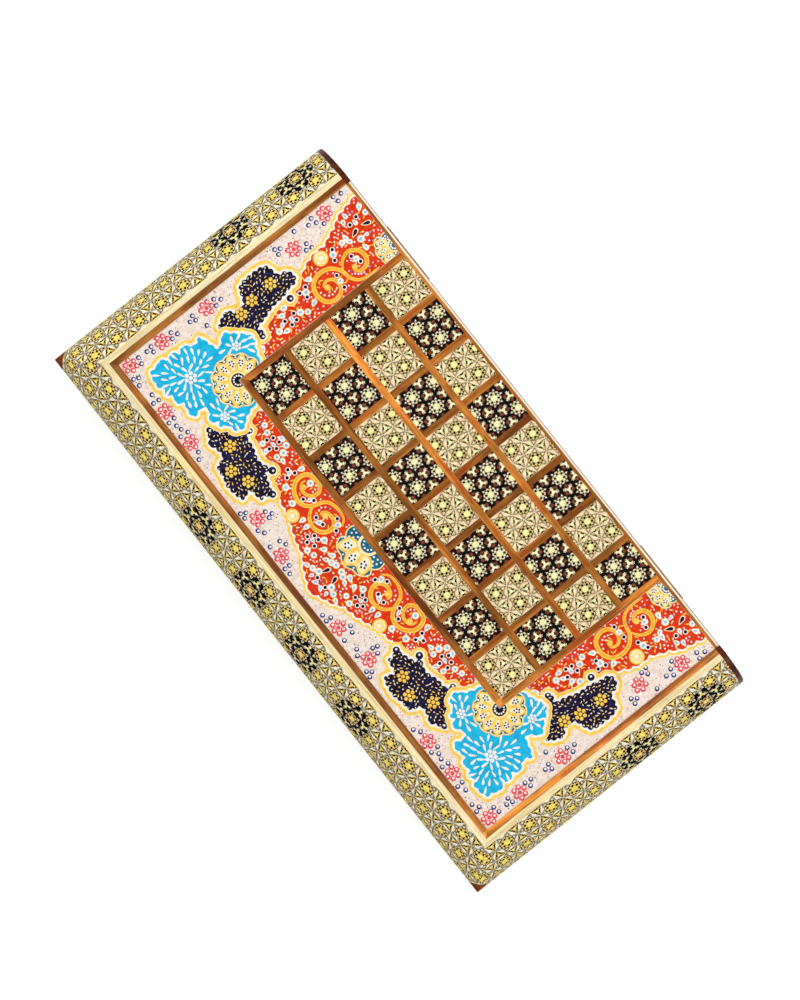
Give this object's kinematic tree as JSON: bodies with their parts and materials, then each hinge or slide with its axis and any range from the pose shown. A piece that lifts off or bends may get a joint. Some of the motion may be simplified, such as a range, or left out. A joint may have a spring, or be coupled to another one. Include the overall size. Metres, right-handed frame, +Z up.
{
  "type": "backgammon board",
  "caption": "Folding inlaid wooden board of two hinged trays with round rims: backgammon inside, chess field outside.",
  "frame": {"origin": "centre of the closed board's bounding box, on the plane it rests on", "axes": "+X along the hinge, +Y towards the hinge side, +Z up with the board closed"},
  "size_m": [0.5, 0.2534, 0.0844],
  "materials": {
    "rail_wood": "plain hardwood, oiled",
    "base_ply": "plywood, bare",
    "rim_khatam": "inlaid marquetry under gloss lacquer",
    "light_khatam": "light inlaid marquetry under gloss lacquer",
    "dark_khatam": "dark inlaid marquetry under gloss lacquer",
    "ivory_wood": "pale boxwood under gloss lacquer",
    "walnut": "walnut under gloss lacquer",
    "dark_walnut": "dark walnut under gloss lacquer",
    "painted_ground": "hand painted under gloss lacquer",
    "field_walnut": "figured walnut under satin lacquer",
    "lining_wood": "thin walnut under satin lacquer",
    "hinge_brass": "polished brass",
    "screw_brass": "polished brass"
  },
  "bodies": {
    "lower_half": {"left_hinge_lower_leaf": "hinge_brass", "left_hinge_pin": "hinge_brass", "lower_base_board": "base_ply", "lower_corner_caps": "dark_walnut", "lower_dark_points": "dark_khatam", "lower_dark_squares": "dark_khatam", "lower_end_caps": "dark_walnut", "lower_field_ground": "field_walnut", "lower_field_medallion": "dark_khatam", "lower_front_khatam_rim": "rim_khatam", "lower_front_rail": "rail_wood", "lower_grid_border": "walnut", "lower_grid_cross_strips": "walnut", "lower_grid_long_strips": "walnut", "lower_hinge_lipping": "walnut", "lower_hinge_rail": "dark_walnut", "lower_hinge_screws": "screw_brass", "lower_ivory_slips": "ivory_wood", "lower_left_khatam_rim": "rim_khatam", "lower_left_rail": "rail_wood", "lower_light_points": "light_khatam", "lower_light_squares": "light_khatam", "lower_mouth_khatam": "rim_khatam", "lower_painted_panel": "painted_ground", "lower_right_khatam_rim": "rim_khatam", "lower_right_rail": "rail_wood", "lower_wall_linings": "lining_wood", "lower_walnut_slips": "walnut", "right_hinge_lower_leaf": "hinge_brass", "right_hinge_pin": "hinge_brass"},
    "upper_half": {"left_hinge_upper_leaf": "hinge_brass", "right_hinge_upper_leaf": "hinge_brass", "upper_base_board": "base_ply", "upper_corner_caps": "dark_walnut", "upper_dark_points": "dark_khatam", "upper_dark_squares": "dark_khatam", "upper_end_caps": "dark_walnut", "upper_field_ground": "field_walnut", "upper_field_medallion": "dark_khatam", "upper_front_khatam_rim": "rim_khatam", "upper_front_rail": "rail_wood", "upper_grid_border": "walnut", "upper_grid_cross_strips": "walnut", "upper_grid_long_strips": "walnut", "upper_hinge_lipping": "walnut", "upper_hinge_rail": "dark_walnut", "upper_hinge_screws": "screw_brass", "upper_ivory_slips": "ivory_wood", "upper_left_khatam_rim": "rim_khatam", "upper_left_rail": "rail_wood", "upper_light_points": "light_khatam", "upper_light_squares": "light_khatam", "upper_mouth_khatam": "rim_khatam", "upper_painted_panel": "painted_ground", "upper_right_khatam_rim": "rim_khatam", "upper_right_rail": "rail_wood", "upper_wall_linings": "lining_wood", "upper_walnut_slips": "walnut"}
  },
  "joints": [
    {"name": "fold_hinge", "type": "hinge", "parent": "lower_half", "child": "upper_half", "pos_m": [0, 0.1237, 0.0422], "axis": [-1, 0, 0], "range_deg": [0, 180]}
  ]
}
